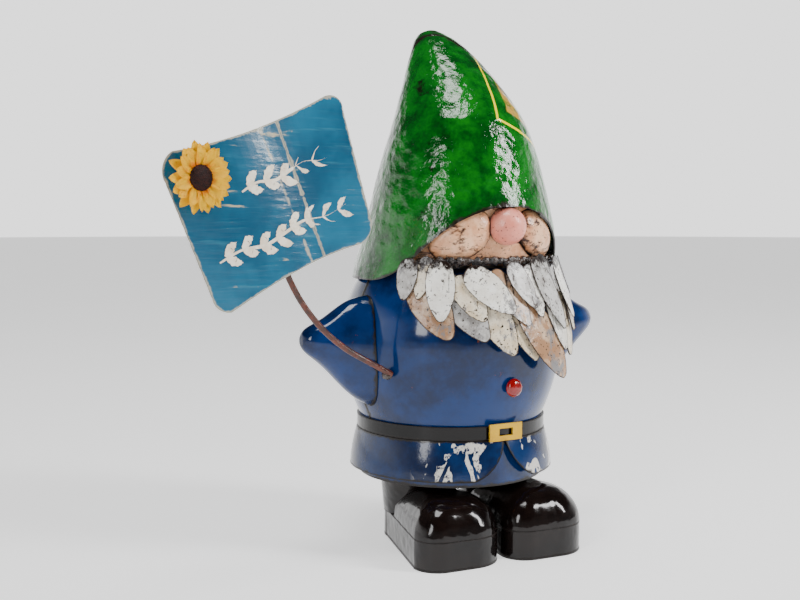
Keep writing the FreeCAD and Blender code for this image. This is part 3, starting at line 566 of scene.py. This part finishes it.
def sign_frame():
    """Middle of the sign, and the directions along and up its plate."""
    middle = (SIGN_LOW + SIGN_HIGH) / 2
    along = Vector((math.cos(SIGN_TILT), 0, math.sin(SIGN_TILT)))
    up = Vector((-math.sin(SIGN_TILT), 0, math.cos(SIGN_TILT)))
    return middle, along, up


def on_sign(tree, u, v, lift):
    """The point on the front of the plate at (u, v) along and up it, raised by lift."""
    middle, along, up = sign_frame()
    start = middle + along * u + up * v
    start.y = SIGN_LOW.y - 0.05
    point, _, _, _ = tree.ray_cast(start, Vector((0, 1, 0)), 0.2)
    return point - Vector((0, lift, 0)) if point is not None else None


def brush_stroke(bm, tree, points, width, seed):
    """A flat stroke of paint through (u, v) points, pointed at its ends and ragged at its sides."""
    count = 26
    last = len(points) - 1
    rows = []
    for i in range(count + 1):
        share = i / count
        spot = share * last
        k = min(int(spot), last - 1)
        part = spot - k
        ends = [points[max(k - 1, 0)], points[k], points[k + 1], points[min(k + 2, last)]]
        place, heading = [], []
        for a, b, c, d in zip(*ends):
            place.append(0.5 * (2 * b + (c - a) * part + (2 * a - 5 * b + 4 * c - d) * part ** 2
                                + (3 * b - a - 3 * c + d) * part ** 3))
            heading.append(c - b + 1e-9)
        size = math.hypot(*heading)
        side = (-heading[1] / size, heading[0] / size)
        full = width * (math.sin(math.pi * min(1, share * 1.06 + 0.06)) ** 0.6 + 0.08)
        rag = 1 + 0.35 * noise.noise(Vector((share * 9, seed * 3.7, 0)))
        row = []
        for edge in (-0.5, 0.0, 0.5):
            u = place[0] + side[0] * full * rag * edge
            v = place[1] + side[1] * full * rag * edge
            point = on_sign(tree, u, v, 0.12 * MM if edge else 0.3 * MM)
            row.append(point)
        if all(row):
            rows.append([bm.verts.new(point) for point in row])
    for a, b in zip(rows, rows[1:]):
        for k in (0, 1):
            bm.faces.new((a[k], a[k + 1], b[k + 1], b[k]))


SPRIG_WAVE = 2.4 * MM


def build_motif(cream):
    """Two painted sprigs of leaves along the plate."""
    tree = surface_of("sign_plate")
    bm = bmesh.new()
    sprigs = ((-22 * MM, 66 * MM, 16 * MM, 6), (-58 * MM, 58 * MM, -25 * MM, 8))
    seed = 0
    for start, stop, height, pairs in sprigs:
        stem = [(start + (stop - start) * k / 6, height + SPRIG_WAVE * math.sin(2.1 * k))
                for k in range(7)]
        brush_stroke(bm, tree, stem, 2.4 * MM, 0.3)
        for pair in range(pairs):
            share = (pair + 0.45) / pairs
            u = start + (stop - start) * share
            v = height + SPRIG_WAVE * math.sin(12.6 * share)
            for side in (1, -1):
                seed += 1
                size = (13.5 + 2.5 * noise.noise(Vector((seed * 1.9, 0.4, 0)))) * MM
                lean = 0.62 + 0.2 * noise.noise(Vector((seed * 2.3, 4.1, 0)))
                u_end, v_end = u + size * math.cos(lean), v + side * size * math.sin(lean)
                belly = (u + u_end) / 2, (v + v_end) / 2 + side * 1.6 * MM
                brush_stroke(bm, tree, [(u, v), belly, (u_end, v_end)], 6.0 * MM, seed)
    bmesh.ops.recalc_face_normals(bm, faces=bm.faces[:])
    for face in bm.faces:
        if face.normal.y > 0:
            face.normal_flip()
    return piece_from(bm, "sign_brush_motif", cream)


# ---------------------------------------------------------------- sunflower

FLOWER_TURN = math.radians(13)
PETAL_COUNT = 14
FLORET_COUNT = 190
DISC_DOME = 0.34


def flower_frame():
    """Place of the flower, with its face along Z."""
    low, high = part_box("sunflower_outer_petals")
    middle = (low + high) / 2
    turn = Matrix.Rotation(FLOWER_TURN, 4, "Z") @ Matrix.Rotation(math.pi / 2, 4, "X")
    return Matrix.Translation(middle) @ turn


def petal(bm, layer, spin, root, length, width, rise, curl, twist):
    """One cupped petal with a crease; layer stores how far each point is along it."""
    rows, columns = 12, 6
    grid = []
    for i in range(rows + 1):
        share = i / rows
        reach = root + (length - root) * share
        full = math.sin(math.pi * (0.16 + 0.84 * share) ** 1.15) ** 0.72 if share < 1 else 0.02
        half = width / 2 * full
        lift = rise * math.sin(math.pi * share * 0.8) + curl * share ** 3
        back = -abs(curl) * 0.35 * share ** 3
        line = []
        for j in range(columns + 1):
            side = j / columns * 2 - 1
            cup = 1.5 * MM * side * side * math.sin(math.pi * min(1.0, share + 0.1))
            ruffle = 0.35 * MM * math.sin(side * 7 + share * 9 + spin * 5)
            up = lift + cup + ruffle + twist * side * share * 1.2 * MM
            flat = Vector((reach + back, side * half, up))
            vert = bm.verts.new(Matrix.Rotation(spin, 3, "Z") @ flat)
            vert[layer] = share
            line.append(vert)
        grid.append(line)
    for low, high in zip(grid, grid[1:]):
        for j in range(columns):
            bm.faces.new((low[j], high[j], high[j + 1], low[j + 1]))


def build_petals(yellow):
    """Two rings of curled petals."""
    place = flower_frame()
    layers = (("sunflower_outer_petals", 28.0, 9.4, 0.0, 0.0),
              ("sunflower_inner_petals", 25.0, 9.0, 0.5, 2.2))
    for number, (node, length, width, half_pitch, stand) in enumerate(layers):
        bm = bmesh.new()
        layer = bm.verts.layers.float.new("along")
        for i in range(PETAL_COUNT):
            wave = [noise.noise(Vector((i * 1.71 + 20 * number, k * 3.3, 0.5))) for k in range(5)]
            spin = math.tau * (i + half_pitch) / PETAL_COUNT + 0.10 * wave[0]
            petal(bm, layer, spin, 6 * MM, (length * (0.965 + 0.05 * wave[1])) * MM, width * MM,
                  (1.6 + 1.6 * wave[2]) * MM, (1.5 + 5.0 * wave[3]) * MM, wave[4])
        bmesh.ops.solidify(bm, geom=bm.faces[:], thickness=0.45 * MM)
        move = place @ Matrix.Translation((0, 0, stand * MM))
        bmesh.ops.transform(bm, matrix=move, verts=bm.verts[:])
        bmesh.ops.recalc_face_normals(bm, faces=bm.faces[:])
        piece_from(bm, node + "_shaped", yellow, [node])


def build_disc(brown):
    """A domed seed head covered with small florets on a spiral."""
    place = flower_frame() @ Matrix.Translation((0, 0, 3.4 * MM))
    bm = bmesh.new()
    radius = 9.4 * MM
    bmesh.ops.create_uvsphere(bm, u_segments=48, v_segments=20, radius=radius)
    bmesh.ops.scale(bm, vec=(1, 1, DISC_DOME), verts=bm.verts[:])
    for i in range(FLORET_COUNT):
        out = math.sqrt((i + 0.5) / FLORET_COUNT)
        angle = i * math.radians(137.5)
        spot = Vector((math.cos(angle), math.sin(angle), 0)) * out * radius * 0.97
        spot.z = DISC_DOME * radius * math.sqrt(max(0.0, 1 - out * out * 0.94))
        size = (0.42 + 0.16 * noise.noise(Vector((i * 0.77, 0, 0)))) * MM
        at = Matrix.Translation(spot) @ Matrix.Diagonal((1, 1, 1.7, 1))
        bmesh.ops.create_icosphere(bm, subdivisions=1, radius=size, matrix=at)
    bmesh.ops.transform(bm, matrix=place, verts=bm.verts[:])
    return piece_from(bm, "sunflower_disc_shaped", brown, ["sunflower_disc"])


# ---------------------------------------------------------------- beard welds

WELD_DROPS = 130
WELD_RADIUS = 83 * MM


def build_welds(black):
    """A burnt, lumpy weld along the foot of the face, made of drops run together."""
    low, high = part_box("beard_weld_beads")
    middle = (low.z + high.z) / 2
    bm = bmesh.new()
    for i in range(WELD_DROPS):
        wave = [noise.noise(Vector((i * 0.83, k * 5.1, 2.0))) for k in range(4)]
        azimuth = math.radians(-52 + 112 * (i + 0.5 + 1.5 * wave[0]) / WELD_DROPS)
        reach = WELD_RADIUS + (1.5 + 5 * wave[1]) * MM
        size = (2.3 + 2.6 * wave[2]) * MM
        fall = -5.0 * MM * max(0.0, wave[3]) * 1.6
        place = Vector((reach * math.sin(azimuth), -reach * math.cos(azimuth), middle + fall))
        stretch = Matrix.Diagonal((1, 1, 1 + 0.7 * abs(wave[3]), 1))
        bmesh.ops.create_icosphere(bm, subdivisions=3, radius=max(size, 0.9 * MM),
                                   matrix=Matrix.Translation(place) @ stretch)
    node = "beard_weld_beads"
    piece = piece_from(bm, "beard_weld_line", black, [node])
    fuse = piece.modifiers.new("fuse", "REMESH")
    fuse.mode, fuse.voxel_size, fuse.use_smooth_shade = "VOXEL", 0.6 * MM, True
    graph = bpy.context.evaluated_depsgraph_get()
    fused = bpy.data.meshes.new_from_object(piece.evaluated_get(graph))
    piece.modifiers.clear()
    piece.data = fused
    if not fused.materials:
        fused.materials.append(black)
    return piece


# ---------------------------------------------------------------- everything

def build_pieces():
    """Every piece of the figure with its material."""
    blue = enamel("coat_blue", (0.001, 0.026, 0.125), (0.0008, 0.010, 0.050), chips=0.645,
                  soot=0.66, gloss=0.12, hammer=0.10 * MM, grain=60, coat=0.3)
    skirt = skirt_enamel()
    black = enamel("gloss_black", (0.004, 0.003, 0.003), (0.001, 0.001, 0.001), chips=0.74,
                   gloss=0.12, hammer=0.10 * MM, coat=0.1)
    leather = enamel("boot_black", (0.009, 0.005, 0.004), (0.003, 0.002, 0.002), chips=0.73,
                     gloss=0.12, hammer=0.18 * MM, grain=140, coat=0.2)
    yellow = enamel("buckle_yellow", (0.64, 0.37, 0.0003), (0.46, 0.24, 0.0003), chips=0.66,
                    soot=0.85, grain=500, coat=0.2)
    red = enamel("button_red", (0.33, 0.003, 0.003), (0.13, 0.002, 0.002), chips=0.73, soot=0.85,
                 grain=420)
    peach = skin_enamel("skin_peach", (0.88, 0.53, 0.32), (0.66, 0.29, 0.14), 0.515)
    pink = skin_enamel("nose_pink", (0.86, 0.34, 0.26), (0.74, 0.23, 0.16), 0.575)
    weld = simple("weld_black", (0.006, 0.004, 0.004), (0.045, 0.026, 0.018), 90, 0.2, 0.8 * MM,
                  coat=0.9)
    rod = simple("rod_rust", (0.12, 0.026, 0.012), (0.035, 0.014, 0.010), 60, 0.32, 0.25 * MM,
                 coat=0.4)
    steel = simple("floor_steel", (0.10, 0.09, 0.085), (0.045, 0.03, 0.025), 40, 0.5, 0.2 * MM,
                   metallic=0.8)
    cream = simple("motif_cream", (0.82, 0.76, 0.64), (0.70, 0.60, 0.46), 120, 0.45, 0.2 * MM)
    seeds = simple("seed_brown", (0.007, 0.002, 0.002), (0.035, 0.006, 0.003), 500, 0.6, 0.3 * MM)
    green = hat_enamel()
    petals = petal_material()
    # The last number sets how far in the brown leaf edges reach: partly worn paint, partly painted
    # shadow between the leaves.
    leaves = [leaf_enamel("leaf_cream", (0.80, 0.72, 0.57), (0.62, 0.50, 0.34), 0.50),
              leaf_enamel("leaf_grey", (0.56, 0.55, 0.53), (0.32, 0.30, 0.28), 0.46),
              leaf_enamel("leaf_white", (0.90, 0.88, 0.82), (0.72, 0.68, 0.60), 0.56),
              leaf_enamel("leaf_peach", (0.60, 0.43, 0.29), (0.34, 0.18, 0.09), 0.45)]

    build_coat(blue)
    build_hat(green)
    for number, node in enumerate(("right_arm", "left_arm", "trouser_band")):
        worked(node, blue, 3 * MM, 0.5 * MM, 30 * MM, 11 + number)
    worked("coat_skirt", skirt, 3 * MM, 0.4 * MM, 30 * MM, 14)
    worked("belt", black, 3 * MM, 0.3 * MM, 30 * MM, 17, 1.5 * MM)
    worked("belt_buckle", yellow, 0.8 * MM, 0.12 * MM, 5 * MM, 18, 0.8 * MM)
    worked("coat_button", red, 0.8 * MM, 0.1 * MM, 5 * MM, 19, 0.8 * MM)
    worked("body_floor_plate", steel, 4 * MM, 0.2 * MM, 30 * MM, 20)
    for word in ("right", "left"):
        for number, piece in enumerate(("sole", "side_band", "toe_cap", "shaft")):
            depth = 0.0 if piece == "sole" else 0.5 * MM
            worked(f"{word}_boot_{piece}", leather, 2.2 * MM, depth, 9 * MM, 30 + number, 2 * MM)
        worked(word + "_cheek", peach, 1.5 * MM, 0.5 * MM, 8 * MM, 40, 3 * MM)
    worked("face_plate", peach, 2.5 * MM, 0.3 * MM, 10 * MM, 42)
    worked("nose", pink, 1.3 * MM, 0.4 * MM, 8 * MM, 43, 2 * MM)
    for number in range(1, 24):
        look = leaves[(2, 1, 0, 2, 3, 1, 0, 2, 0, 3, 1, 2, 0, 3, 1)[number % 15]]
        worked(f"beard_leaf_{number:02}", look, 1.4 * MM, 0.8 * MM, 11 * MM, 50 + number, 1.3 * MM)
    build_welds(weld)
    worked("rod_weld_beads", weld, 0.7 * MM, 0.8 * MM, 2.5 * MM, 81)
    worked("sign_rod", rod, 1.2 * MM, 0.25 * MM, 4 * MM, 82, 1 * MM)
    worked("sign_plate", sign_enamel(), 2.5 * MM, 0.5 * MM, 35 * MM, 83, 3 * MM)
    worked("sunflower_stub", seeds, 1 * MM, 0.0, 4 * MM, 84)
    build_motif(cream)
    build_petals(petals)
    build_disc(seeds)


# ---------------------------------------------------------------- floor, light, camera

WORLD_LIGHT = 1.9


def build_floor():
    """A pale floor that reaches past the view."""
    bm = bmesh.new()
    bmesh.ops.create_circle(bm, cap_ends=True, segments=96, radius=14)
    mesh = bpy.data.meshes.new("floor")
    bm.to_mesh(mesh)
    bm.free()
    floor = bpy.data.objects.new("floor", mesh)
    paint = Paint("floor_white")
    shade = paint.level(paint.noise(3, 3), 0.3, 0.7, 0.55, 0.62)
    paint.shader.inputs["Emission Color"].default_value = (1, 1, 1, 1)
    paint.shader.inputs["Emission Strength"].default_value = 0.9
    mesh.materials.append(paint.done((0.70, 0.70, 0.70), shade))
    bpy.context.scene.collection.objects.link(floor)


def softbox(name, place, aim, width, height, watts):
    """A rectangular lamp turned to face a point."""
    data = bpy.data.lights.new(name, "AREA")
    data.shape = "RECTANGLE"
    data.size, data.size_y, data.energy = width, height, watts
    lamp = bpy.data.objects.new(name, data)
    lamp.location = place
    lamp.rotation_euler = (Vector(aim) - Vector(place)).to_track_quat("-Z", "Y").to_euler()
    bpy.context.scene.collection.objects.link(lamp)


def build_light():
    """Three lamps, and a surround that is bright ahead and low down, and dim elsewhere."""
    softbox("key", (1.15, -1.25, 1.15), (0, 0, 0.25), 0.35, 1.1, 44)
    softbox("fill", (-1.7, -0.9, 0.9), (0, 0, 0.2), 0.35, 1.0, 15)
    softbox("top", (-0.2, -0.2, 1.9), (0, 0, 0.2), 0.6, 0.6, 18)
    world = bpy.data.worlds.new("studio")
    world.use_nodes = True
    bpy.context.scene.world = world
    nodes, links = world.node_tree.nodes, world.node_tree.links
    place = nodes.new("ShaderNodeTexCoord")
    split = nodes.new("ShaderNodeSeparateXYZ")
    links.new(place.outputs["Generated"], split.inputs[0])
    ramp = nodes.new("ShaderNodeValToRGB")
    links.new(split.outputs[2], ramp.inputs["Fac"])
    ramp.color_ramp.elements[0].position = 0.22
    ramp.color_ramp.elements[0].color = (1, 1, 1, 1)
    ramp.color_ramp.elements[1].position = 0.42
    ramp.color_ramp.elements[1].color = (0.03, 0.03, 0.032, 1)
    dim = nodes.new("ShaderNodeMapRange")
    dim.inputs["From Min"].default_value = -0.35
    dim.inputs["From Max"].default_value = 0.35
    dim.inputs["To Min"].default_value = 0.22
    dim.inputs["To Max"].default_value = WORLD_LIGHT
    links.new(split.outputs[1], dim.inputs["Value"])
    links.new(dim.outputs["Result"], nodes["Background"].inputs["Strength"])
    links.new(ramp.outputs["Color"], nodes["Background"].inputs["Color"])


CAMERA_AROUND = math.radians(33)
CAMERA_HEADING = CAMERA_AROUND - math.radians(2.62)
CAMERA_DIP = math.radians(4.4)
CAMERA_DISTANCE, CAMERA_HEIGHT = 0.966, 0.282


def build_camera():
    """At three quarters from the front, a little above half the figure's height."""
    data = bpy.data.cameras.new("camera")
    data.lens, data.sensor_width = 49.7, 36
    camera = bpy.data.objects.new("camera", data)
    camera.location = (-math.sin(CAMERA_AROUND) * CAMERA_DISTANCE,
                       -math.cos(CAMERA_AROUND) * CAMERA_DISTANCE, CAMERA_HEIGHT)
    level = math.cos(CAMERA_DIP)
    look = Vector((math.sin(CAMERA_HEADING) * level, math.cos(CAMERA_HEADING) * level,
                   -math.sin(CAMERA_DIP)))
    camera.rotation_euler = look.to_track_quat("-Z", "Y").to_euler()
    bpy.context.scene.collection.objects.link(camera)
    bpy.context.scene.camera = camera


build_pieces()
build_floor()
build_light()
build_camera()
